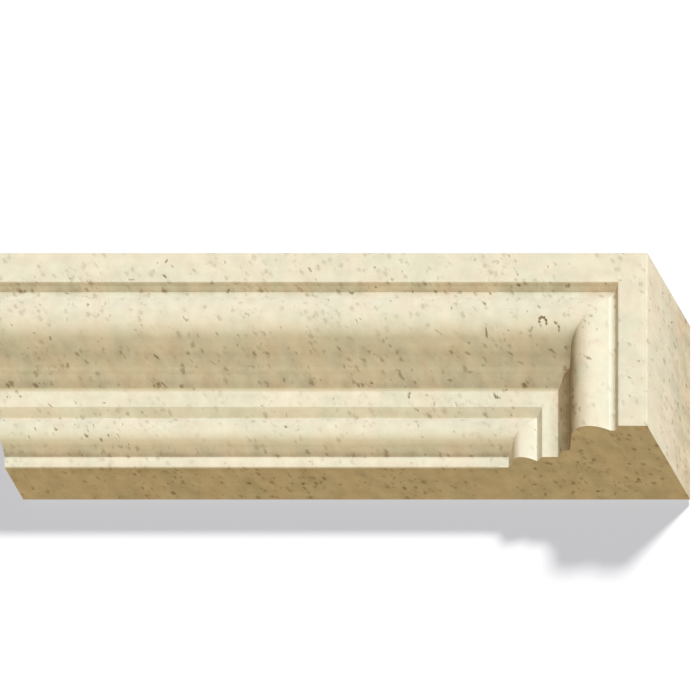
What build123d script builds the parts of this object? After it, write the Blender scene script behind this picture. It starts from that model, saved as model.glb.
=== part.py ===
from build123d import *
from math import radians, tan
import os

# Architrave corner block: one cast stone piece, the right-hand upper corner of a door or window
# surround. A long arm of moulding runs along the top and turns down at a mitre into a short leg,
# which is cut off level with the arm's lower edge.
# Millimetres, as it hangs on the wall: X runs along the arm, Z is up, the wall face is the plane
# Y = 0 and the front looks towards -Y. The origin is the middle of the wall face.

# Overall sizes
LENGTH = 500.0  # along the arm, outside edge of the leg included
WIDTH = 130.0  # across the face of the moulding, so also the height of the block
DEPTH = 65.0  # from the wall to the front of the outer fascia

# The section, read from the outside edge inwards. Each width is measured across the face and
# each depth backwards, and every member starts where the one before it ends.
FASCIA_WIDTH = 22.0  # flat outer band, on the front plane
STEP_WIDTH = 3.6  # splayed step behind the outer band
STEP_DEPTH = 4.2
QUIRK_WIDTH = 3.9  # narrow floor between the step and the large ogee
RISE_WIDTH = 14.9  # large ogee from its foot to its crest, level with the outer band
OGEE_RADIUS = 20.5  # round of the large ogee past its crest
FALL_ANGLE = 60.0  # steepest slope of both ogees, from the plane of the face
FALL_DEPTH = 21.5  # from the crest of the large ogee to the flat floor at its bottom
FLOOR_WIDTH = 4.15
SPLAY_WIDTH = 7.4  # splay from that floor back to the inner fascia
SPLAY_DEPTH = 6.0
INNER_WIDTH = 12.3  # flat inner fascia
SMALL_STEP_WIDTH = 5.3  # splayed step behind the inner fascia
SMALL_STEP_DEPTH = 3.5
SMALL_QUIRK_WIDTH = 0.5
SMALL_RISE_WIDTH = 10.5  # small ogee from its foot to its crest, level with the inner fascia
SMALL_RADIUS = 9.5  # round of the small ogee past its crest
SMALL_FALL_DEPTH = 5.7  # from the crest of the small ogee to where the last splay begins
LIP_SPLAY_WIDTH = 4.6  # last splay; the flat lip after it takes the rest of the width
LIP_SPLAY_DEPTH = 3.5

# Softened edges
OUTER_ARRIS = 0.8  # outer corner of the block and lower corner of the lip
FACE_ARRIS = 0.4  # edges of the fascias and of the lip
COVE_RADIUS = 2.0  # hollow at the foot of the large ogee

step_end = FASCIA_WIDTH + STEP_WIDTH
ogee_start = step_end + QUIRK_WIDTH
crest = ogee_start + RISE_WIDTH
inner_depth = FALL_DEPTH + SPLAY_DEPTH
foot_depth = inner_depth + SMALL_FALL_DEPTH
lip_depth = foot_depth + LIP_SPLAY_DEPTH


def foot_of(ogee, depth):
    """Where the straight run below an ogee's round reaches a depth."""
    end = ogee @ 1
    return end.X + (depth - end.Y) / tan(radians(FALL_ANGLE))


# The section across the moulding: x is the distance in from the outside edge, y the depth back
# from the front plane.
with BuildSketch() as section:
    with BuildLine():
        Polyline((0, DEPTH), (0, 0), (FASCIA_WIDTH, 0), (step_end, STEP_DEPTH), (ogee_start, STEP_DEPTH))
        TangentArc((crest, 0), (ogee_start, STEP_DEPTH), tangent=(-1, 0))
        ogee = JernArc((crest, 0), tangent=(1, 0), radius=OGEE_RADIUS, arc_size=FALL_ANGLE)

        floor_start = foot_of(ogee, FALL_DEPTH)
        inner_start = floor_start + FLOOR_WIDTH + SPLAY_WIDTH
        inner_end = inner_start + INNER_WIDTH
        small_ogee_start = inner_end + SMALL_STEP_WIDTH + SMALL_QUIRK_WIDTH
        small_ogee_depth = inner_depth + SMALL_STEP_DEPTH
        small_crest = small_ogee_start + SMALL_RISE_WIDTH
        Polyline(
            ogee @ 1,
            (floor_start, FALL_DEPTH),
            (floor_start + FLOOR_WIDTH, FALL_DEPTH),
            (inner_start, inner_depth),
            (inner_end, inner_depth),
            (inner_end + SMALL_STEP_WIDTH, small_ogee_depth),
            (small_ogee_start, small_ogee_depth),
        )
        TangentArc((small_crest, inner_depth), (small_ogee_start, small_ogee_depth), tangent=(-1, 0))
        small_ogee = JernArc(
            (small_crest, inner_depth), tangent=(1, 0), radius=SMALL_RADIUS, arc_size=FALL_ANGLE
        )

        small_foot = foot_of(small_ogee, foot_depth)
        lip_start = small_foot + LIP_SPLAY_WIDTH
        Polyline(
            small_ogee @ 1,
            (small_foot, foot_depth),
            (lip_start, lip_depth),
            (WIDTH, lip_depth),
            (WIDTH, DEPTH),
            (0, DEPTH),
        )
    make_face()
    softened = {
        (0, 0): OUTER_ARRIS,
        (FASCIA_WIDTH, 0): FACE_ARRIS,
        (floor_start, FALL_DEPTH): COVE_RADIUS,
        (inner_start, inner_depth): FACE_ARRIS,
        (inner_end, inner_depth): FACE_ARRIS,
        (lip_start, lip_depth): FACE_ARRIS,
        (WIDTH, lip_depth): OUTER_ARRIS,
    }
    for corner, radius in softened.items():
        fillet(section.vertices().sort_by_distance(corner)[0], radius=radius)

# The mitre rises at 45 degrees to the outer corner. Its upper side belongs to the arm.
mitre = Plane(origin=(LENGTH / 2, 0, WIDTH / 2), z_dir=(-1, 0, 1))

# The long arm along the top, from its square left end
with BuildPart() as arm:
    with BuildSketch(Plane(origin=(-LENGTH / 2, -DEPTH, WIDTH / 2), x_dir=(0, 0, -1), z_dir=(1, 0, 0))):
        add(section.sketch)
    extrude(amount=LENGTH)
    split(bisect_by=mitre, keep=Keep.TOP)

# The short leg down the right side, to its square lower end
with BuildPart() as leg:
    with BuildSketch(Plane(origin=(LENGTH / 2, -DEPTH, WIDTH / 2), x_dir=(-1, 0, 0), z_dir=(0, 0, -1))):
        add(section.sketch)
    extrude(amount=WIDTH)
    split(bisect_by=mitre, keep=Keep.BOTTOM)

# Cast in one piece
with BuildPart() as corner_block:
    add(arm.part)
    add(leg.part)

corner_block.part.label = "corner_block"
os.makedirs("parts", exist_ok=True)
export_step(corner_block.part, "parts/corner_block.step")
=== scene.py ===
import math
import random

import bmesh
import bpy
from mathutils import Matrix, Vector, noise
from mathutils.bvhtree import BVHTree
from mathutils.interpolate import poly_3d_calc


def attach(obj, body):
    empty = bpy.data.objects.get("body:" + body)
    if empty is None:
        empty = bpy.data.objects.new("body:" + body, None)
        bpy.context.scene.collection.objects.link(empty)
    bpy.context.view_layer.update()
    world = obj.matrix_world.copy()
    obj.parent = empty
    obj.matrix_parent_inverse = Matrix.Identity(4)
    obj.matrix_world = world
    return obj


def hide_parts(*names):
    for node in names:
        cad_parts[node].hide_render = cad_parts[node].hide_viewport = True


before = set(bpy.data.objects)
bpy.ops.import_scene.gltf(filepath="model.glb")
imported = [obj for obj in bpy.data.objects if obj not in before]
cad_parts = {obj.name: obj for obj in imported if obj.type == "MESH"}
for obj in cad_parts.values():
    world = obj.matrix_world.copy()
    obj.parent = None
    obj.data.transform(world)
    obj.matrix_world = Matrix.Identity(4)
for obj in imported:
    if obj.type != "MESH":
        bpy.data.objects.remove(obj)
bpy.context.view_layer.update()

# The architrave corner block as it hangs on the wall, in metres: X runs along the arm, Z is up,
# the wall face is the plane Y = 0 and the front looks towards -Y.
MM = 0.001

# The block's sizes in mm, the same as the CAD part's
LENGTH, WIDTH, DEPTH = 500.0, 130.0, 65.0
FASCIA_WIDTH = 22.0
STEP_WIDTH, STEP_DEPTH = 3.6, 4.2
QUIRK_WIDTH = 3.9
RISE_WIDTH = 14.9
OGEE_RADIUS = 20.5
FALL_ANGLE = math.radians(60.0)
FALL_DEPTH = 21.5
FLOOR_WIDTH = 4.15
SPLAY_WIDTH, SPLAY_DEPTH = 7.4, 6.0
INNER_WIDTH = 12.3
SMALL_STEP_WIDTH, SMALL_STEP_DEPTH = 5.3, 3.5
SMALL_QUIRK_WIDTH = 0.5
SMALL_RISE_WIDTH = 10.5
SMALL_RADIUS = 9.5
SMALL_FALL_DEPTH = 5.7
LIP_SPLAY_WIDTH, LIP_SPLAY_DEPTH = 4.6, 3.5
OUTER_ARRIS, FACE_ARRIS, COVE_RADIUS = 0.8, 0.4, 2.0
ARC_STEP = math.radians(2.5)  # turn from one facet of an ogee to the next
ARRIS_STEP = 4 * ARC_STEP  # the same on a softened edge
SMOOTH_ANGLE = math.radians(12.0)  # a smaller turn than this is shaded smooth
MUCH_LONGER = 1.5  # a side this many times as long as the next one keeps its own normal beside it

# Painted shade on the face: (distance in from the outside edge in mm, share of brown). It darkens
# the colour where shade falls, in the hollows of the section and most of all in the shaded valley
# of the leg, and a share below 0 is painted light, paler than the rest.
ARM_PAINTED_SHADE = (
    (0, 0), (22, 0), (22.8, 0.42), (23.4, 0.42), (24.1, 0.31), (25.2, 0.39), (26.2, 0.33),
    (28, 0.13), (29.5, 0.1), (32, 0.06), (35, 0.02), (44.4, 0), (48, -0.02), (52, -0.05),
    (54.7, -0.045), (57, 0), (58.9, 0.06), (61.4, 0.11), (63.1, 0.18), (64.3, 0.26), (65.5, 0.2),
    (67, 0.14), (68, 0.1), (70.6, 0.125), (72.8, 0.17), (75, 0.22), (76.4, 0.31), (77.8, 0.37),
    (78.7, 0.37), (79.3, 0.12), (79.8, -0.2), (80.1, -0.1), (80.6, 0.02), (84, 0.05), (88, 0),
    (92, 0.01), (93.2, 0.04), (95.4, 0.12), (97.2, 0.16), (98.5, 0.15), (99.5, 0.12), (102.5, 0.08),
    (106.5, 0.04), (109, 0), (111.5, -0.08), (114, -0.16), (115.5, -0.16), (116.3, -0.1),
    (117, 0.05), (118, 0.16), (119.2, 0.2), (120, 0.31), (120.7, 0.46), (121.6, 0.6), (122.1, 0.5),
    (122.6, 0.14), (123.4, 0.02), (125, -0.02), (128, 0.02), (129.2, 0.08), (130, 0.1),
)
LEG_PAINTED_SHADE = (
    (0, 0.14), (0.7, 0.08), (1.2, -0.05), (3, -0.06), (5, 0), (20.3, 0.02), (21, 0.11),
    (21.5, 0.32), (22.2, 0.26), (24, 0.17), (25.4, 0.18), (26.2, 0.36), (27, 0.34), (27.7, 0.12),
    (28.5, -0.15), (29.6, -0.15), (30.4, 0), (31.4, 0.08), (33, 0.07), (37, 0.06), (42, 0),
    (49, 0.06), (51.6, 0.13), (53, 0.2), (54.7, 0.35), (56, 0.5), (57.6, 0.62), (60, 0.75),
    (62.2, 0.85), (66, 0.95), (68.7, 1), (70.5, 1), (72, 0.85), (72.8, 0.75), (74.5, 0.6),
    (76.5, 0.5), (79.5, 0.47), (80.1, 0.4), (80.8, 0.12), (84, 0.09), (85.7, 0), (88.8, -0.12),
    (90.2, -0.14), (91.5, -0.1), (92.3, 0), (93.5, 0.2), (98.3, 0.05), (108.8, 0), (112, 0.18),
    (113.5, 0.18), (115, 0.1), (117, 0), (122.1, 0.1), (122.6, 0), (130, 0),
)
# Painted shade on the outer sides and on the arm's lower side: (depth back from the front, share of
# brown). On the outer sides it darkens towards the wall, and a share below 0 is painted light.
SIDE_PAINTED_SHADE = (
    (0, 0.2), (0.9, 0.11), (1.6, -0.05), (5, -0.04), (10, 0.02), (14, 0.04), (21, 0.045),
    (27, 0.06), (33, 0.11), (37.5, 0.18), (42, 0.22), (50, 0.25), (56, 0.27), (65, 0.27),
)
LOWER_PAINTED_SHADE = ((36, -0.35), (37.4, -0.3), (38.4, 0.14), (40, 0.05), (43, 0), (65, 0))
# Near the mitre, which the leg's crest shades, the arm takes on a share of the leg's painted shade,
# the leg has more of its own, and the rise of the arm's large ogee is painted paler, as painted light
MITRE_REACH = 5.0  # mm
ARM_SHARE, LEG_EXTRA = 0.45, 0.2
MITRE_PALE, MITRE_PALE_FROM, MITRE_PALE_TO = -0.08, 28.0, 42.0
# How much smoother and cleaner the leg's face is than the rest: its mouldings, then its fascia
LEG_SMOOTH, FASCIA_SMOOTH = 0.3, 0.05
# Share of a warm tint painted as shade colour: by distance in from the outside edge on the leg's
# face, which has it past the crest of the large ogee and on the inner fascia, and by depth on the
# outer sides, towards the wall
LEG_SHADE_TINT = (
    (0, 0), (44, 0), (47, 0.25), (53, 0.3), (56, 0), (80, 0), (80.8, 0.35), (85, 0.25),
    (87.5, 0), (130, 0),
)
SIDE_SHADE_TINT = ((0, 0), (42, 0), (57, 0.45), (65, 0.45))
LONG_SIDE = 1.2  # mm; a longer side of the section is divided where a painted shade table has a stop
STOP_CLEAR = 0.01  # but not within this share of the side from its ends
MITRE_STATION = 2  # of the five stations along the block at which the section is set
SAME_PLACE = 1e-7  # metres; vertices nearer than this are joined


# ---- the stone's shape ----


def crown(crest, depth, rise_width, rise_depth, radius, foot_depth):
    """An ogee's points, from the foot of its rise over its crest to the end of its round, and the
    point where the straight run below them reaches foot_depth."""
    rise_radius = (rise_width**2 + rise_depth**2) / (2 * rise_depth)
    rise_angle = math.asin(rise_width / rise_radius)
    points = []
    for angle_end, arc_radius, sign in ((rise_angle, rise_radius, -1), (FALL_ANGLE, radius, 1)):
        steps = math.ceil(angle_end / ARC_STEP)
        half = []
        for i in range(steps + 1):
            angle = angle_end * i / steps
            u = crest + sign * arc_radius * math.sin(angle)
            half.append((u, depth + arc_radius * (1 - math.cos(angle)), 0))
        points += half[::-1] if sign < 0 else half[1:]
    u, d, _ = points[-1]
    return points, (u + (foot_depth - d) / math.tan(FALL_ANGLE), foot_depth)


def section_corners():
    """(distance in from the outside edge, depth back from the front, rounding radius), in mm."""
    step_end = FASCIA_WIDTH + STEP_WIDTH
    big, big_foot = crown(
        step_end + QUIRK_WIDTH + RISE_WIDTH, 0, RISE_WIDTH, STEP_DEPTH, OGEE_RADIUS, FALL_DEPTH
    )
    inner_start = big_foot[0] + FLOOR_WIDTH + SPLAY_WIDTH
    inner_end = inner_start + INNER_WIDTH
    inner_depth = FALL_DEPTH + SPLAY_DEPTH
    small_start = inner_end + SMALL_STEP_WIDTH + SMALL_QUIRK_WIDTH
    small, small_foot = crown(
        small_start + SMALL_RISE_WIDTH,
        inner_depth,
        SMALL_RISE_WIDTH,
        SMALL_STEP_DEPTH,
        SMALL_RADIUS,
        inner_depth + SMALL_FALL_DEPTH,
    )
    lip_start = small_foot[0] + LIP_SPLAY_WIDTH
    lip_depth = small_foot[1] + LIP_SPLAY_DEPTH
    return [
        (0, DEPTH, 0),
        (0, 0, OUTER_ARRIS),
        (FASCIA_WIDTH, 0, FACE_ARRIS),
        (step_end, STEP_DEPTH, 0),
        *big,
        (*big_foot, COVE_RADIUS),
        (big_foot[0] + FLOOR_WIDTH, FALL_DEPTH, 0),
        (inner_start, inner_depth, FACE_ARRIS),
        (inner_end, inner_depth, FACE_ARRIS),
        (inner_end + SMALL_STEP_WIDTH, inner_depth + SMALL_STEP_DEPTH, 0),
        *small,
        (*small_foot, 0),
        (lip_start, lip_depth, FACE_ARRIS),
        (WIDTH, lip_depth, OUTER_ARRIS),
        (WIDTH, DEPTH, 0),
    ]


def rounded(corners):
    """Replaces each corner that has a radius by an arc that touches both of its sides."""
    points = []
    before_each, after_each = corners[-1:] + corners[:-1], corners[1:] + corners[:1]
    for before, (u, d, radius), after in zip(before_each, corners, after_each):
        corner = Vector((u, d))
        if not radius:
            points.append(corner)
            continue
        back = (Vector(before[:2]) - corner).normalized()
        on = (Vector(after[:2]) - corner).normalized()
        half = back.angle(on) / 2
        centre = corner + (back + on).normalized() * radius / math.sin(half)
        start = corner + back * radius / math.tan(half) - centre
        end = corner + on * radius / math.tan(half) - centre
        turn = math.pi - 2 * half
        steps = max(2, math.ceil(turn / ARRIS_STEP))
        for i in range(steps + 1):
            part = turn * i / steps
            spoke = (start * math.sin(turn - part) + end * math.sin(part)) / math.sin(turn)
            points.append(centre + spoke)
    return points


def divided(points):
    """Adds points on the long sides of the section, where the grime on them changes."""
    result = []
    for here, there in zip(points, points[1:] + points[:1]):
        result.append(here)
        if (there - here).length < LONG_SIDE or here.y == there.y == DEPTH:
            continue
        upright = here.x == there.x
        stops = SIDE_PAINTED_SHADE + LOWER_PAINTED_SHADE if upright else ARM_PAINTED_SHADE + LEG_PAINTED_SHADE
        start, end = (here.y, there.y) if upright else (here.x, there.x)
        shares = sorted({(stop - start) / (end - start) for stop, _ in stops})
        result += [here.lerp(there, share) for share in shares if STOP_CLEAR < share < 1 - STOP_CLEAR]
    return result


def read_table(table, place):
    """The value of a table of (place, value) at a place, on a straight line between its stops."""
    for (before, low), (after, high) in zip(table, table[1:]):
        if place <= after:
            return low + (high - low) * (place - before) / (after - before)
    return table[-1][1]


def shading_at(point, on_leg, at_mitre):
    """(share of painted shade, share of smoothing, share of warm shade tint) at a point of the section."""
    u, d = point
    if u == 0:
        return read_table(SIDE_PAINTED_SHADE, d), 0.0, read_table(SIDE_SHADE_TINT, d)
    if u == WIDTH:
        return read_table(LOWER_PAINTED_SHADE, d), 0.0, 1.0
    arm, leg = read_table(ARM_PAINTED_SHADE, u), read_table(LEG_PAINTED_SHADE, u)
    if on_leg:
        smooth = LEG_SMOOTH if u > FASCIA_WIDTH else FASCIA_SMOOTH
        painted_shade = leg + at_mitre * LEG_EXTRA * max(leg, 0)
        return painted_shade, smooth, read_table(LEG_SHADE_TINT, u)
    paler = MITRE_PALE if MITRE_PALE_FROM < u < MITRE_PALE_TO else 0.0
    return arm + at_mitre * (ARM_SHARE * max(leg - arm, 0) + paler), 0.0, 0.0


def side_normals(points):
    """For each side of the section, its outward normals at both ends, as if the rounds were smooth."""
    sides = [after - before for before, after in zip(points, points[1:] + points[:1])]
    flat = [Vector((side.y, -side.x)).normalized() for side in sides]

    def shared(i, j):
        """The normal at the corner between sides i and j, or None where the corner is sharp."""
        if flat[i].angle(flat[j]) > SMOOTH_ANGLE:
            return None
        short, long = sorted((i, j), key=lambda k: sides[k].length)
        if sides[long].length > MUCH_LONGER * sides[short].length:
            return flat[long]
        return (flat[i] + flat[j]).normalized()

    count = len(points)
    return [(shared(i - 1, i) or flat[i], shared(i, (i + 1) % count) or flat[i]) for i in range(count)]


def swept_block():
    """The clean block: the section along the arm, round the mitre and down the leg.

    Each corner carries the normal it is shaded with, and its painted shade, smoothing and shade tint.
    """
    bm = bmesh.new()
    shade = bm.loops.layers.float_vector.new("shade")
    shade_and_smoothing = bm.loops.layers.float_vector.new("shade_and_smoothing")
    points = divided(rounded(section_corners()))
    rows = []  # one for each point of the section, with a vertex at each station
    for u, d in points:
        left, right, top, bottom = -LENGTH / 2, LENGTH / 2 - u, WIDTH / 2 - u, -WIDTH / 2
        below = max(top - MITRE_REACH, (top + bottom) / 2)
        places = ((left, top), (right - MITRE_REACH, top), (right, top), (right, below), (right, bottom))
        rows.append([bm.verts.new(Vector((x, d - DEPTH, z)) * MM) for x, z in places])
    for here, there, start, end, (first, second) in zip(
        rows, rows[1:] + rows[:1], points, points[1:] + points[:1], side_normals(points)
    ):
        on_wall = start.y == end.y == DEPTH
        for i in range(len(here) - 1):
            on_leg = i >= MITRE_STATION
            face = bm.faces.new((here[i], there[i], there[i + 1], here[i + 1]))
            corners = ((start, first, i), (end, second, i), (end, second, i + 1), (start, first, i + 1))
            for loop, (point, normal, station) in zip(face.loops, corners):
                loop[shade] = (-normal.x, normal.y, 0) if on_leg else (0, normal.y, -normal.x)
                at_mitre = station == MITRE_STATION
                loop[shade_and_smoothing] = (0, 0, 0) if on_wall else shading_at(point, on_leg, at_mitre)
    # The left end gets no painted shade, and the leg's lower end, an underside, the full warm tint painted
    # as shade colour
    for end, station, normal, shade_tint in ((rows[::-1], 0, (-1, 0, 0), 0.0), (rows, -1, (0, 0, -1), 1.0)):
        face = bm.faces.new([row[station] for row in end])
        for loop in face.loops:
            loop[shade] = normal
            loop[shade_and_smoothing] = (0, 0, shade_tint)
    bmesh.ops.remove_doubles(bm, verts=bm.verts, dist=SAME_PLACE)
    bmesh.ops.recalc_face_normals(bm, faces=bm.faces)
    bmesh.ops.triangulate(bm, faces=bm.faces)
    return bm


# ---- pits ----

SEED = 20
GRAIN = math.radians(128.0)  # most voids are drawn out this way, turned up from the arm's own line
GRAIN_SPREAD = math.radians(40.0)
SMALL_PITS, LARGE_PITS = 900, 1300  # tries, most of which the patches turn away
SMALL_LENGTH, LARGE_LENGTH = (0.9, 1.6), (1.8, 3.4)  # mm
RANDOM_WIDTH = (0.5, 0.85)  # of a random pit, by its length
RANDOM_STAIN_AND_SHADE = (0.15, 0.6)  # how dark these pits are painted, by stain and painted shade
PATCH = 24 * MM  # rough distance between patches of many pits and of few
PATCH_FILL, PATCH_EDGE = 0.4, 1.3  # more of the first gives more pits, more of the second barer gaps
LEG_SHARE = 0.35  # the leg's face is closer grained
LEG_FRONT = -0.3  # a face whose normal's Y is below this counts as the leg's face
WALL_SIDE = 0.5  # and one with more than this as the wall face
ALONG_AXIS = 0.7  # a normal with more than this of X or Z belongs to a side, an end, the top or the bottom
EDGE_CLEAR = 2 * MM  # random pits there keep this far from the wall face, to leave its edges whole
FINE_FROM = 1.4  # mm; a longer pit is cut with a finer ball
LOBE_FROM = 2.6  # mm; a longer pit has a lobe on its side
LOBE_LENGTH, LOBE_WIDTH = 0.5, 0.9  # by those of its pit
LOBE_ALONG, LOBE_ACROSS = 0.45, 0.5  # how far from the pit's middle, by its length and its width
HALF_DEPTH = (0.5, 0.7)  # of a cutting ball, by its width
RIM = 0.35  # share of a cutting ball's half depth that stays above the stone
ROOM = 0.75  # a ball keeps others of its set this far off, by its length
SWELL, SWELL_SCALE = 0.6, 1.3  # how uneven a cutting ball is, and how finely
NOISE_REACH = 50.0  # each ball takes its unevenness from its own place in the noise, within this
RELIEF = 0.3  # how far the shading of a pit's inside turns from that of the face; its other shade is painted
CELL = 8 * MM  # of the grid in which balls near each other are looked for
FAR = 1.0  # metres; how far outside the block the rays that place a pit start
HAS_NORMAL = 0.1  # a corner that was given a normal has one at least this long

# Pits measured on the photographed block, in mm: two places on the face, length, width, then the
# direction of the length in degrees and the darkening, stain and painted shade of the void, 0.5 for
# most pits and 1 for the darkest. The last seven in front make up a ring, most darkened deeper.
FRONT_PITS = (
    (-227.7, 11.9, 2.1, 2.1, 135, 0.5), (-218.2, -12, 1.9, 1.4, 125, 0.5),
    (-212.1, -25.9, 6.7, 1.3, 135, 0.5), (-211.9, 8.1, 2.8, 1.5, 170, 0.5),
    (-208.7, -7.8, 1.8, 1.8, 95, 0.5), (-207.1, -44.2, 4.0, 2.6, 175, 0.5),
    (-200.7, 6.1, 3.1, 2.0, 100, 1.0), (-185.1, -48.3, 4.2, 2.3, 125, 1.0),
    (-179.1, -41.2, 5.3, 1.3, 110, 0.5), (-174.7, -35, 2.7, 1.7, 150, 0.5),
    (-174.6, -50.1, 3.1, 2.5, 120, 1.0), (-170.1, 26.7, 4.0, 1.9, 105, 1.0),
    (-168.3, -48, 2.5, 1.7, 115, 1.0), (-162.5, 5.8, 2.2, 1.6, 95, 0.5),
    (-160.9, -49, 4.1, 1.2, 140, 0.5), (-145.8, 32.7, 2.7, 2.3, 10, 0.5),
    (-143.4, -30.1, 2.4, 1.7, 125, 0.5), (-136.7, 44.4, 4.7, 1.7, 10, 0.5),
    (-125.7, -0.3, 4.1, 1.9, 125, 1.0), (-124.7, -12.8, 6.1, 1.5, 140, 0.5),
    (-117.5, 57.2, 2.4, 1.5, 175, 0.5), (-112.4, 47.6, 4.0, 2.3, 145, 1.0),
    (-111.1, 58.4, 4.3, 2.4, 60, 1.0), (-108.8, -5.1, 6.6, 4.0, 100, 0.5),
    (-106.3, 54.5, 4.5, 1.3, 125, 0.5), (-104.2, 8.4, 2.6, 1.8, 95, 0.5),
    (-98.8, -3.3, 2.1, 1.8, 115, 0.5), (-89.7, 7, 3.1, 1.6, 90, 0.5), (-85.4, -1.8, 5.1, 1.2, 125, 0.5),
    (-66.4, 39.5, 3.1, 2.3, 50, 0.5), (-53.1, 16.7, 2.4, 1.7, 100, 0.5),
    (-35.4, -31, 3.4, 1.2, 80, 0.5), (-35, -42.1, 3.7, 1.9, 125, 1.0), (-29.1, -51, 2.0, 2.0, 110, 0.5),
    (-26.1, 10.6, 2.0, 1.9, 50, 0.5), (-25.4, -44.6, 2.6, 1.4, 155, 0.5),
    (-3.2, 52.2, 4.8, 2.9, 120, 0.5), (3.1, 55, 3.1, 1.6, 100, 0.5), (12.7, -2.9, 4.1, 1.7, 90, 0.5),
    (13.2, 2.2, 4.9, 2.3, 110, 0.5), (25.4, 38.3, 5.7, 2.3, 150, 0.5),
    (30.9, -11.8, 2.4, 2.0, 150, 1.0), (45.4, 53.8, 2.8, 2.4, 160, 0.5),
    (53.8, -8.6, 6.7, 3.9, 105, 0.5), (55.7, -13.6, 1.6, 1.6, 105, 0.5),
    (57.4, -19.4, 5.3, 2.7, 110, 1.0), (63.4, -29, 2.7, 2.0, 130, 0.5), (66.9, -49, 2.2, 2.2, 95, 0.5),
    (77, -5.8, 2.0, 2.0, 35, 0.5), (86, -6.8, 3.5, 1.5, 115, 0.5), (90.2, -10.6, 6.0, 2.2, 5, 0.5),
    (90.7, 8.9, 6.2, 1.3, 145, 0.5), (91.3, -45.8, 2.0, 1.7, 175, 0.5),
    (102.8, 23.7, 3.4, 2.3, 110, 0.5), (106.1, -6.3, 4.4, 2.3, 160, 0.5),
    (106.2, 31, 5.2, 1.7, 70, 0.5), (111.6, 4, 3.9, 2.0, 135, 0.5), (116.7, -2.7, 2.5, 2.5, 130, 0.5),
    (120.7, 59.5, 2.9, 2.0, 85, 0.5), (122, -19.1, 5.9, 2.5, 115, 1.0), (127, 27.7, 5.9, 2.2, 130, 1.0),
    (127.3, 8.2, 6.7, 2.3, 85, 1.0), (130, 37.9, 3.1, 1.8, 135, 0.5),
    (130.7, -14.8, 2.6, 2.1, 160, 1.0), (138, 57.2, 2.6, 1.9, 70, 0.5), (140, 7.6, 1.8, 1.7, 105, 0.5),
    (140.4, 0.7, 5.2, 2.1, 125, 0.5), (144, 9.4, 2.1, 1.4, 175, 0.5), (145.3, -13, 3.9, 2.4, 155, 0.5),
    (145.5, -1.9, 5.4, 1.6, 145, 0.5), (152.6, 41.7, 3.5, 2.2, 160, 1.0), (161, 9.4, 6.7, 2.2, 60, 0.5),
    (168.8, 24.3, 5.1, 1.9, 120, 0.5), (172.2, 1.4, 6.7, 3.5, 125, 0.5),
    (175.2, 54.4, 3.3, 1.8, 95, 0.5), (180.4, 13.4, 3.6, 2.2, 150, 1.0),
    (182.4, 11, 4.2, 2.2, 105, 1.0), (183.5, 2.3, 3.5, 2.9, 125, 0.5),
    (188.4, 41.4, 2.9, 2.2, 145, 0.5), (205.5, -14, 6.2, 2.4, 155, 0.5),
    (207.9, 17.5, 3.6, 2.5, 10, 0.5), (218.4, 42.3, 1.8, 1.8, 160, 0.5),
    (230, 44.2, 2.5, 1.2, 175, 1.0), (236.3, -28.8, 4.3, 1.5, 155, 0.5),
    (238.2, -58.8, 2.3, 1.2, 40, 0.5), (173.5, 13.0, 2.6, 2.6, 70, 1.6),
    (173.5, 15.0, 2.6, 2.6, 110, 2.2), (172.3, 16.5, 2.6, 2.6, 150, 2.4),
    (170.5, 16.9, 2.6, 2.6, 10, 2.2), (168.9, 15.9, 2.6, 2.6, 50, 2.0),
    (168.3, 14.0, 2.6, 2.6, 90, 1.4), (169.1, 11.9, 2.6, 1.6, 135, 0.7),
)
SIDE_PITS = (
    (-64, -21.5, 2.8, 1.2, 125, 0.5), (-61.5, 23.9, 3.1, 1.6, 0, 1.0), (-60.6, 0.1, 2.8, 2.3, 80, 1.0),
    (-59.7, 34.3, 3.4, 2.2, 35, 0.5), (-57, -9.3, 5.6, 1.4, 10, 0.5), (-52.9, -27.3, 2.6, 2.0, 25, 0.5),
    (-49.6, 6.3, 2.2, 1.2, 45, 0.5), (-43.5, 16.6, 2.7, 1.6, 30, 0.5),
    (-41.6, -50.1, 2.8, 1.2, 40, 0.5), (-40.6, 54.4, 3.7, 2.9, 160, 0.5),
    (-32.7, 57.4, 1.7, 1.2, 40, 0.5), (-29.8, -39.9, 2.6, 1.2, 15, 0.5),
    (-27.6, 44.1, 5.4, 1.2, 40, 0.5), (-18.2, 40.7, 1.7, 1.2, 115, 0.5),
)
BOTTOM_PITS = (
    (-98.5, -18.9, 2.4, 1.7, 55, 0.5), (-40.5, -20.9, 5.6, 1.8, 85, 0.5),
    (-12.9, -22.6, 2.7, 1.2, 95, 0.5), (28.3, -13.7, 1.9, 1.3, 40, 0.5), (33, -10.5, 1.9, 1.2, 30, 0.5),
    (37.2, -0.8, 1.9, 1.5, 100, 0.5), (44.3, -16.7, 1.7, 1.2, 80, 0.5),
    (59.7, -15.7, 2.6, 2.0, 70, 0.5), (125.1, -10.3, 3.4, 2.3, 75, 0.5),
    (135.2, -19.3, 6.7, 1.2, 135, 0.5), (139.5, -12.7, 5.6, 2.8, 155, 0.5),
    (143.4, -3.6, 4.4, 2.0, 135, 0.5), (147.6, -19.9, 4.2, 1.9, 145, 0.5),
    (165.5, -6, 6.2, 2.1, 135, 0.5), (181.7, -32.5, 4.6, 1.5, 155, 0.5),
    (184.6, -6.7, 3.5, 2.4, 165, 1.0), (187.7, -28, 5.1, 1.2, 0, 0.5),
    (196.1, -4.4, 4.3, 1.7, 125, 0.5), (199.9, -12.1, 3.8, 1.4, 105, 0.5),
    (219.8, -15.6, 6.1, 4.2, 100, 0.5),
)


def ball(subdivisions):
    """Corners and faces of a unit ball, as plain lists."""
    bm = bmesh.new()
    bmesh.ops.create_icosphere(bm, subdivisions=subdivisions, radius=1.0)
    corners = [v.co.copy() for v in bm.verts]
    faces = [[v.index for v in f.verts] for f in bm.faces]
    bm.free()
    return corners, faces


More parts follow.
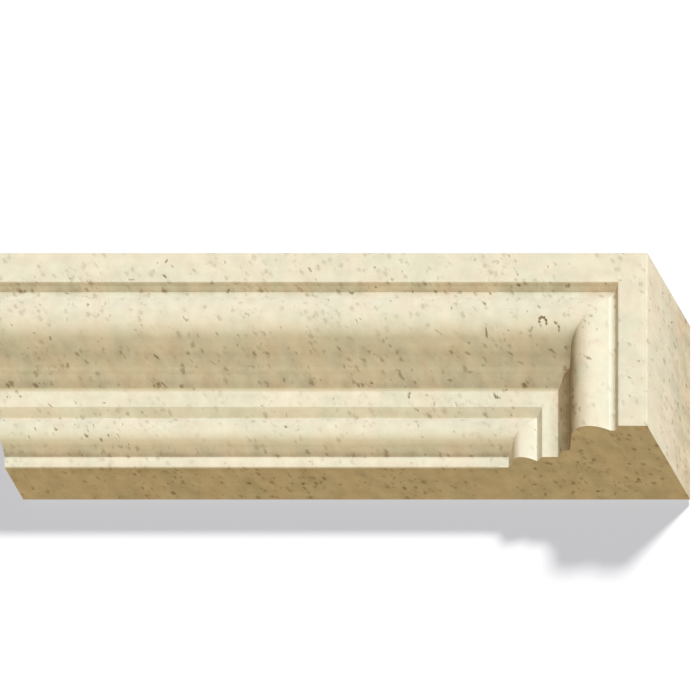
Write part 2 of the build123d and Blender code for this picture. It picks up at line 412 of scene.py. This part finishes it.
class Cutters:
    """Irregular balls to cut from the block. No two of one set touch, so each cut stays clean."""

    def __init__(self):
        self.corners, self.faces, self.taken = [], [], {}
        self.hollow, self.shade, self.shade_and_smoothing = [], [], []

    def crowded(self, place, reach):
        """Whether a ball of this reach would come too near to one of this set."""
        cell = [int(c // CELL) for c in place]
        steps = (-1, 0, 1)
        near = ((cell[0] + i, cell[1] + j, cell[2] + k) for i in steps for j in steps for k in steps)
        return any((place - p).length < reach + r for key in near for p, r in self.taken.get(key, ()))

    def add(self, place, normal, along, length, width, stain_and_shade, shade_and_smoothing, shape):
        """Adds a ball drawn out along a line, unless another of this set is too near."""
        reach = length * ROOM
        if self.crowded(place, reach):
            return False
        self.taken.setdefault(tuple(int(c // CELL) for c in place), []).append((place, reach))
        across = normal.cross(along)
        depth = width * draw.uniform(*HALF_DEPTH)
        origin = Vector([draw.uniform(-NOISE_REACH, NOISE_REACH) for _ in range(3)])
        first = len(self.corners)
        for c in shape[0]:
            swell = 1 + SWELL * noise.noise(c * SWELL_SCALE + origin)
            offset = along * c.x * length / 2 + across * c.y * width / 2 + normal * c.z * depth
            self.corners.append(place + offset * swell + normal * depth * RIM)
            # A void's inside is painted darker towards its bottom, as a brown stain and as painted shade
            self.hollow.append(stain_and_shade * max(0.0, (-c.z - RIM) / (1 - RIM)))
            outwards = along * c.x / length + across * c.y / width + normal * c.z / (2 * depth)
            self.shade.append(normal * (1 - RELIEF) - outwards.normalized() * RELIEF)
            self.shade_and_smoothing.append(shade_and_smoothing)
        self.faces += [[first + i for i in f] for f in shape[1]]
        return True

    def cut_from(self, obj):
        """Cuts all the balls from an object. The corners of the cuts keep what the balls carry."""
        mesh = bpy.data.meshes.new("cutters")
        mesh.from_pydata(self.corners, [], self.faces)
        hollow = mesh.attributes.new("hollow", "FLOAT", "CORNER")
        hollow.data.foreach_set("value", [self.hollow[loop.vertex_index] for loop in mesh.loops])
        for name, values in (("shade", self.shade), ("shade_and_smoothing", self.shade_and_smoothing)):
            layer = mesh.attributes.new(name, "FLOAT_VECTOR", "CORNER")
            flat = [part for loop in mesh.loops for part in values[loop.vertex_index]]
            layer.data.foreach_set("vector", flat)
        cutter = bpy.data.objects.new("cutters", mesh)
        bpy.context.collection.objects.link(cutter)
        cut = obj.modifiers.new("pits", "BOOLEAN")
        cut.operation, cut.solver, cut.object = "DIFFERENCE", "MANIFOLD", cutter
        depsgraph = bpy.context.evaluated_depsgraph_get()
        cut_mesh = bpy.data.meshes.new_from_object(obj.evaluated_get(depsgraph))
        obj.modifiers.clear()
        obj.data = cut_mesh
        bpy.data.objects.remove(cutter)


def carve(*ball_settings):
    """Adds a ball to the first set that has room for it. Says whether one had."""
    return any(layer.add(*ball_settings) for layer in cutters)


def pit(place, face, length, width, along, stain_and_shade):
    """Adds the ball for one pit, and one for a lobe on its side where the pit is long."""
    normal = face.normal.copy()
    weights = poly_3d_calc([v.co for v in face.verts], place)
    shares = (loop[clean_shading] * weight for loop, weight in zip(face.loops, weights))
    shade_and_smoothing = sum(shares, Vector((0, 0, 0)))
    along = (along - normal * along.dot(normal)).normalized()
    shape = FINE_BALL if length > FINE_FROM * MM else COARSE_BALL
    if carve(place, normal, along, length, width, stain_and_shade, shade_and_smoothing, shape) and length > LOBE_FROM * MM:
        side = along * length * draw.uniform(-LOBE_ALONG, LOBE_ALONG)
        side += normal.cross(along) * width * draw.uniform(-LOBE_ACROSS, LOBE_ACROSS)
        length, width = length * LOBE_LENGTH, width * LOBE_WIDTH
        carve(place + side, normal, along, length, width, stain_and_shade, shade_and_smoothing, FINE_BALL)


def turned(first, second, angle):
    """The direction at an angle from the first direction towards the second."""
    return first * math.cos(angle) + second * math.sin(angle)


draw = random.Random(SEED)
COARSE_BALL, FINE_BALL = ball(1), ball(2)
cutters = [Cutters(), Cutters(), Cutters()]
clean = swept_block()
clean.faces.ensure_lookup_table()
clean_shading = clean.loops.layers.float_vector["shade_and_smoothing"]
surface = BVHTree.FromBMesh(clean)

X, Y, Z = Vector((1, 0, 0)), Vector((0, 1, 0)), Vector((0, 0, 1))
for table, first, second, view in ((FRONT_PITS, X, Z, Y), (SIDE_PITS, Y, Z, -X), (BOTTOM_PITS, X, Y, Z)):
    for a, b, length, width, angle, stain_and_shade in table:
        place, _, index, _ = surface.ray_cast((first * a + second * b) * MM - view * FAR, view)
        along = turned(first, second, math.radians(angle))
        pit(place, clean.faces[index], length * MM, width * MM, along, stain_and_shade)

areas = [f.calc_area() for f in clean.faces]
for tries, lengths in ((LARGE_PITS, LARGE_LENGTH), (SMALL_PITS, SMALL_LENGTH)):
    for face in draw.choices(clean.faces[:], areas, k=tries):
        a, b = draw.random(), draw.random()
        if a + b > 1:
            a, b = 1 - a, 1 - b
        corner, left, right = (v.co for v in face.verts)
        place = corner + (left - corner) * a + (right - corner) * b
        normal = face.normal
        if place.y > -EDGE_CLEAR and normal.y < WALL_SIDE:
            continue
        chance = max(0.0, noise.noise(place / PATCH) + PATCH_FILL) ** PATCH_EDGE
        if LENGTH / 2 * MM - place.x < WIDTH / 2 * MM - place.z and normal.y < LEG_FRONT:
            chance *= LEG_SHARE
        if draw.random() < chance:
            length = draw.uniform(*lengths) * MM
            angle = GRAIN + draw.uniform(-GRAIN_SPREAD, GRAIN_SPREAD)
            first = Y if abs(normal.x) > ALONG_AXIS else X
            second = Y if abs(normal.z) > ALONG_AXIS else Z
            stain_and_shade = draw.uniform(*RANDOM_STAIN_AND_SHADE)
            width = length * draw.uniform(*RANDOM_WIDTH)
            pit(place, face, length, width, turned(first, second, angle), stain_and_shade)

mesh = bpy.data.meshes.new("stone_block")
clean.to_mesh(mesh)
clean.free()
mesh.attributes.new("hollow", "FLOAT", "CORNER")
block = bpy.data.objects.new("stone_block", mesh)
bpy.context.collection.objects.link(block)
for layer in cutters:
    layer.cut_from(block)

# Each corner is shaded with the normal that it was given before the cuts, or if it has none, its face's
shade = block.data.attributes["shade"]
normals = [Vector(value.vector) for value in shade.data]
for polygon in block.data.polygons:
    polygon.use_smooth = True
    for i in polygon.loop_indices:
        normals[i] = normals[i].normalized() if normals[i].length > HAS_NORMAL else polygon.normal
block.data.attributes.remove(shade)
block.data.normals_split_custom_set(normals)

# ---- material ----

# The stone's colours
PINK_CREAM, GREEN_CREAM = (0.918, 0.841, 0.641), (0.899, 0.850, 0.648)  # in soft clouds, before any painted shade
PINK_BROWN, GREEN_BROWN = (0.40, 0.247, 0.120), (0.285, 0.245, 0.150)  # thin painted shade, in the same clouds
BROWN = (0.325, 0.245, 0.138)  # thick painted shade, the dots, and the insides of the voids (stain and painted shade)
SHADE_TINT_COLOUR = (0.974, 0.911, 0.747)  # warm tint painted as shade colour on the lower faces, and partly on the sides near the wall

# The noise textures, with their scales per metre
CLOUDS, BLOTCHES, MOTTLE, STREAKS, SAND = 42.0, 95.0, 420.0, 260.0, 2600.0
GRAIN_STRETCH = 1.5  # of the mottle and the dots, along the voids' grain
STREAK_SHRINK = 0.09  # of the place along the arm, so streaks are about eleven times as long as wide
FINE_ROUGHNESS = 0.6  # of the mottle and the sand
HUE_FROM, HUE_TO = 0.38, 0.62  # the clouds' levels that are all pink and all green

# The share of brown: a part of it is even, the rest is painted shade and light as the tables say,
# and the textures make both uneven. Each of their amounts is the change from the texture's low level
# to its high one.
EVEN_BROWN = 0.14
TEXTURE_LOW, TEXTURE_HIGH = 0.25, 0.75
MOTTLE_BROWN, BLOTCH_BROWN, CLOUD_BROWN, STREAK_BROWN = 0.05, 0.2, 0.06, 0.04
TINT_AS_BROWN = 0.45  # full shade tint makes the stone as uneven as this share of painted shade does
THICK, THICK_STRENGTH = 0.45, 1.9  # from this share on, everything uneven is this many times stronger
NEUTRAL_FROM, NEUTRAL_TO = 0.45, 0.75  # shares of brown from which it loses the clouds' hues
NEUTRAL_DOT = 0.12  # a dot or void with this share has lost them too

# Soft dots: scale per metre, the share of places that have one in a bare patch and in a crowded one,
# and the radius at which one begins to fade and is gone, by its spacing
MARKS = {"scale": 240.0, "few": 0.1, "many": 1.0, "core": 0.12, "rim": 0.54}
SPECKS = {"scale": 400.0, "few": 0.0, "many": 0.4, "core": 0.1, "rim": 0.5}
MARK_BROWN, SPECK_BROWN = 0.34, 0.18  # the most that they add
PATCHES, BARE, CROWDED = 55.0, 0.42, 0.7  # scale of the patches per metre, and their levels
SHAKE, SHAKE_SCALE = 0.0028, 500.0  # metres; how far the dots' outlines are pushed about, and how finely
FULL_STAIN_AND_SHADE = 1.2  # the bottom of a void darkened this much, by stain and painted shade, is all brown

# Gloss and relief
ROUGHNESS = (0.78, 0.9)  # at the mottle's low and high levels
ROUGH_LOW, ROUGH_HIGH = 0.3, 0.7
BROWN_ROUGHNESS, BROWN_ROUGH_FROM, BROWN_ROUGH_TO = 0.95, 0.3, 0.8  # where there is more brown than this
SPECULAR = 0.3
WAVES, GRAINS, DENTS = (0.35, 0.0006), (0.25, 0.00012), (0.5, 0.0003)  # strength, and depth in metres


def node(tree, kind, inputs=(), **settings):
    """Adds a node. Each (socket, value) in inputs is a number or colour to set, or a socket to join."""
    new = tree.nodes.new("ShaderNode" + kind)
    for name, value in settings.items():
        setattr(new, name, value)
    for name, value in dict(inputs).items():
        if isinstance(value, bpy.types.NodeSocket):
            tree.links.new(value, new.inputs[name])
        else:
            new.inputs[name].default_value = value
    return new


def maths(tree, operation, *values):
    """The result of a Math node, whose values are numbers or sockets."""
    return node(tree, "Math", dict(enumerate(values)), operation=operation).outputs[0]


def mixed(tree, share, first, second, blend="MIX"):
    """A mix of two colours, each an (r, g, b) or a socket."""
    colours = [(*c, 1) if isinstance(c, tuple) else c for c in (first, second)]
    parts = {0: share, 6: colours[0], 7: colours[1]}
    return node(tree, "Mix", parts, data_type="RGBA", blend_type=blend).outputs[2]


def spread(tree, value, low, high, to_low, to_high, kind="LINEAR"):
    """Maps low to high onto to_low to to_high, and clamps it there."""
    ends = {"Value": value, "From Min": low, "From Max": high, "To Min": to_low, "To Max": to_high}
    return node(tree, "MapRange", ends, interpolation_type=kind).outputs[0]


def bump(tree, height, relief, normal=None, invert=False):
    """A bump with a relief of (strength, depth in metres), on top of another bump's normal."""
    inputs = {"Height": height, "Strength": relief[0], "Distance": relief[1]}
    if normal is not None:
        inputs["Normal"] = normal
    return node(tree, "Bump", inputs, invert=invert).outputs[0]


def cast_stone():
    """Cream cast stone with soft clouds, dots in patches, and painted shade in its hollows."""
    material = bpy.data.materials.new("cast_stone")
    material.use_nodes = True
    tree = material.node_tree
    bsdf = tree.nodes["Principled BSDF"]
    place = node(tree, "TexCoord").outputs["Object"]

    def noise_at(scale, detail=2.0, roughness=0.5, where=place, output="Fac"):
        inputs = {"Vector": where, "Scale": scale, "Detail": detail, "Roughness": roughness}
        return node(tree, "TexNoise", inputs).outputs[output]

    turn = {"Vector": place, "Rotation": (0.0, math.pi - GRAIN, 0.0), "Scale": (GRAIN_STRETCH, 1.0, 1.0)}
    along_grain = node(tree, "Mapping", turn, vector_type="TEXTURE").outputs[0]
    along_arm = node(tree, "Mapping", {"Vector": place, "Scale": (STREAK_SHRINK, 1.0, 1.0)}).outputs[0]
    clouds = noise_at(CLOUDS)
    blotches = noise_at(BLOTCHES, 3.0)
    mottle = noise_at(MOTTLE, 3.0, FINE_ROUGHNESS, along_grain)
    streaks = noise_at(STREAKS, where=along_arm)
    sand = noise_at(SAND, 2.0, FINE_ROUGHNESS)

    # Soft dots, crowded in some patches and rare in others: marks a few mm long, and specks
    patches = noise_at(PATCHES)
    shake = noise_at(SHAKE_SCALE, 1.0, output="Color")
    shake = node(tree, "VectorMath", {0: shake, "Scale": SHAKE}, operation="SCALE").outputs[0]
    shaken = node(tree, "VectorMath", {0: along_grain, 1: shake}, operation="ADD").outputs[0]

    def scattered(scale, few, many, core, rim):
        """Soft dots, 1 at their middle and 0 between them, of uneven strength."""
        cells = node(tree, "TexVoronoi", {"Vector": shaken, "Scale": scale})
        chance, power, _ = node(tree, "SeparateColor", {0: cells.outputs["Color"]}).outputs
        picked = maths(tree, "LESS_THAN", chance, spread(tree, patches, BARE, CROWDED, few, many))
        dot = spread(tree, cells.outputs["Distance"], core, rim, 1.0, 0.0, "SMOOTHSTEP")
        return maths(tree, "MULTIPLY", maths(tree, "MULTIPLY", picked, dot), power)

    marks, specks = scattered(**MARKS), scattered(**SPECKS)

    # What the mesh carries: its painted shade, smoothing and shade tint, and how deep a place is in a
    # void, by the void's stain and painted shade
    shade_and_smoothing = node(tree, "Attribute", attribute_name="shade_and_smoothing").outputs["Vector"]
    painted_shade, smooth, shade_tint = node(tree, "SeparateXYZ", {0: shade_and_smoothing}).outputs
    hollow = node(tree, "Attribute", attribute_name="hollow").outputs["Fac"]

    # The share of brown, painted shade and below 0 painted light, with its uneven part stronger where
    # there is more of it and weak where the face is smooth
    strength = maths(tree, "ADD", painted_shade, maths(tree, "MULTIPLY", shade_tint, TINT_AS_BROWN))
    strength = spread(tree, strength, 0.0, THICK, 1.0, THICK_STRENGTH)
    strength = maths(tree, "MULTIPLY", strength, maths(tree, "SUBTRACT", 1.0, smooth))
    share = maths(tree, "MULTIPLY_ADD", painted_shade, 1 - EVEN_BROWN, EVEN_BROWN)
    textures = (mottle, blotches, clouds, streaks)
    amounts = (MOTTLE_BROWN, BLOTCH_BROWN, CLOUD_BROWN, STREAK_BROWN)
    for texture, amount in zip(textures, amounts):
        change = spread(tree, texture, TEXTURE_LOW, TEXTURE_HIGH, -amount / 2, amount / 2)
        share = maths(tree, "MULTIPLY_ADD", change, strength, share)
    dots = maths(tree, "MULTIPLY", marks, MARK_BROWN)
    dots = maths(tree, "MAXIMUM", dots, maths(tree, "MULTIPLY", specks, SPECK_BROWN))
    dots = maths(tree, "MULTIPLY", dots, strength)
    dots = maths(tree, "MAXIMUM", dots, spread(tree, hollow, 0.0, FULL_STAIN_AND_SHADE, 0.0, 1.0))
    share = node(tree, "Math", {0: share, 1: dots}, operation="ADD", use_clamp=True).outputs[0]

    hue = spread(tree, clouds, HUE_FROM, HUE_TO, 0.0, 1.0, "SMOOTHSTEP")
    neutral = spread(tree, share, NEUTRAL_FROM, NEUTRAL_TO, 0.0, 1.0)
    neutral = maths(tree, "MAXIMUM", neutral, spread(tree, dots, 0.0, NEUTRAL_DOT, 0.0, 1.0))
    cream = mixed(tree, hue, PINK_CREAM, GREEN_CREAM)
    brown = mixed(tree, neutral, mixed(tree, hue, PINK_BROWN, GREEN_BROWN), BROWN)
    # Cream turned towards brown by the share: painted shade and light, textures, dots, and the voids'
    # stain and painted shade
    colour = mixed(tree, share, cream, brown)
    # A warm tint painted as shade colour, on the undersides and on the sides towards the wall
    colour = mixed(tree, shade_tint, colour, mixed(tree, 1.0, colour, SHADE_TINT_COLOUR, "MULTIPLY"))
    tree.links.new(colour, bsdf.inputs["Base Color"])

    rough = spread(tree, mottle, ROUGH_LOW, ROUGH_HIGH, *ROUGHNESS)
    rough_where_brown = spread(tree, share, BROWN_ROUGH_FROM, BROWN_ROUGH_TO, 0.0, BROWN_ROUGHNESS)
    tree.links.new(maths(tree, "MAXIMUM", rough, rough_where_brown), bsdf.inputs["Roughness"])
    bsdf.inputs["Specular IOR Level"].default_value = SPECULAR

    normal = bump(tree, sand, GRAINS, bump(tree, blotches, WAVES))
    normal = bump(tree, specks, DENTS, normal, invert=True)
    tree.links.new(normal, bsdf.inputs["Normal"])
    return material


block.data.materials.clear()  # the cuts leave an empty slot
block.data.materials.append(cast_stone())

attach(block, "root")
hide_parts("corner_block")

# ---- camera ----
# The picture is an oblique one: the front is seen square on, and depth runs down to the right.
# So the camera's own view axis leans, and its picture plane stays parallel to the front.
PIXELS = 700
PIXELS_PER_METRE = 1333.6
LEAN_RIGHT, LEAN_DOWN = 661 / PIXELS_PER_METRE, 1135 / PIXELS_PER_METRE  # per metre of depth
RIGHT_EDGE_PIXEL, TOP_EDGE_PIXEL = 647.2, 252.4  # of the block's front in the picture
CAMERA_DISTANCE, CLIP_END = 3.0, 20.0

scene = bpy.context.scene
lens = bpy.data.cameras.new("camera")
lens.type = "ORTHO"
lens.ortho_scale = PIXELS / PIXELS_PER_METRE
lens.clip_end = CLIP_END
camera = bpy.data.objects.new("camera", lens)
scene.collection.objects.link(camera)
leaning = bpy.data.objects.new("camera_lean", None)
scene.collection.objects.link(leaning)
aim = Vector((
    LENGTH / 2 * MM - (RIGHT_EDGE_PIXEL - PIXELS / 2) / PIXELS_PER_METRE,
    -DEPTH * MM,
    WIDTH / 2 * MM - (PIXELS / 2 - TOP_EDGE_PIXEL) / PIXELS_PER_METRE,
))
back = Vector((LEAN_RIGHT, -1, -LEAN_DOWN))
seat = aim + back * CAMERA_DISTANCE
camera.parent = leaning
camera.matrix_parent_inverse = Matrix(
    ((1, 0, back.x, seat.x), (0, 0, back.y, seat.y), (0, 1, back.z, seat.z), (0, 0, 0, 1))
)
scene.camera = camera

# ---- stage ----
# A wall stands just behind the block, and a floor passes under it, level with its lower edge.
WALL_GAP = 0.003  # the block hangs this far in front of the wall
STAGE_REACH = 3.0
SHADOW_GREY = (0.531, 0.538, 0.563)  # of the unlit stage; its lamp adds the rest up to white
PAINT = 0.12  # how much of the lamp's light the paint gives back
SQUARE = ((-1, -1), (1, -1), (1, 1), (-1, 1))  # anticlockwise as seen from the painted side
WHITE = (1, 1, 1)


def seen_directly(tree):
    """1 for what the camera sees, also in a mirror or through glass, and 0 for other light."""
    rays = node(tree, "LightPath").outputs
    indirectly = maths(tree, "MAXIMUM", rays["Is Glossy Ray"], rays["Is Transmission Ray"])
    return maths(tree, "MAXIMUM", rays["Is Camera Ray"], indirectly)


def paint(name):
    """The stage's matt paint. Seen from behind it is clear, so it hides nothing in other views."""
    material = bpy.data.materials.new(name)
    material.use_nodes = True
    tree = material.node_tree
    tree.nodes.clear()
    matt = node(tree, "BsdfDiffuse", {"Color": (PAINT, PAINT, PAINT, 1)}).outputs[0]
    tone = node(tree, "Emission", {"Color": (*SHADOW_GREY, 1), "Strength": seen_directly(tree)}).outputs[0]
    front = node(tree, "AddShader", {0: matt, 1: tone}).outputs[0]
    clear = node(tree, "BsdfTransparent").outputs[0]
    behind = node(tree, "NewGeometry").outputs["Backfacing"]
    surface = node(tree, "MixShader", {0: behind, 1: front, 2: clear}).outputs[0]
    node(tree, "OutputMaterial", {"Surface": surface})
    return material


def stage_plane(name, corners):
    """A plane of the stage, which throws neither shadow nor light on the block."""
    mesh = bpy.data.meshes.new(name)
    mesh.from_pydata(corners, [], [(0, 1, 2, 3)])
    mesh.materials.append(paint(name + "_paint"))
    plane = bpy.data.objects.new(name, mesh)
    scene.collection.objects.link(plane)
    plane.visible_diffuse = plane.visible_glossy = plane.visible_transmission = False
    plane.visible_volume_scatter = plane.visible_shadow = False
    return plane


wall = stage_plane("wall", [(a * STAGE_REACH, WALL_GAP, b * STAGE_REACH) for a, b in SQUARE])
floor = stage_plane("floor", [(a * STAGE_REACH, b * STAGE_REACH, -WIDTH / 2 * MM) for a, b in SQUARE])

# ---- light ----
# The block and the stage have their own lamps, so the wall can be white and keep a soft shadow.
# Each lamp: (direction it comes from, level by colour, spread in degrees)
BLOCK_LAMPS = {
    "key": ((1, -1, 1), (0.640, 0.747, 0.93), 3.0),
    "fill": ((0.31, -0.8517, -0.4226), (0.466, 0.502, 0.48), 24.0),
    "side": ((0.9698, -0.171, -0.1736), (0.216, 0.209, 0.175), 24.0),
    "behind": ((-0.4, 0.75, 0.55), (0.71, 0.80, 0.89), 20.0),
}
STAGE_LAMPS = {"wall_lamp": ((0.76, -1, 0.77), (5.8, 5.8, 5.8), 9.0)}
AMBIENT = (0.219, 0.125, 0.035)  # even light from all round, warm like light off the ground

for lamps, lit in ((BLOCK_LAMPS, [block]), (STAGE_LAMPS, [wall, floor])):
    receivers = bpy.data.collections.new("lit_by_" + "_".join(lamps))
    for thing in lit:
        receivers.objects.link(thing)
    for name, (towards, level, angle) in lamps.items():
        lamp = bpy.data.lights.new(name, "SUN")
        lamp.energy = max(level) * math.pi
        lamp.color = [part / max(level) for part in level]
        lamp.angle = math.radians(angle)
        place = bpy.data.objects.new(name, lamp)
        scene.collection.objects.link(place)
        place.rotation_mode = "QUATERNION"
        place.rotation_quaternion = Vector(towards).to_track_quat("Z", "Y")
        place.light_linking.receiver_collection = receivers

world = bpy.data.worlds.new("studio")
scene.world = world
world.use_nodes = True
sky = world.node_tree
backdrop = mixed(sky, seen_directly(sky), AMBIENT, WHITE)
sky.links.new(backdrop, sky.nodes["Background"].inputs["Color"])

scene.view_settings.view_transform = "Standard"
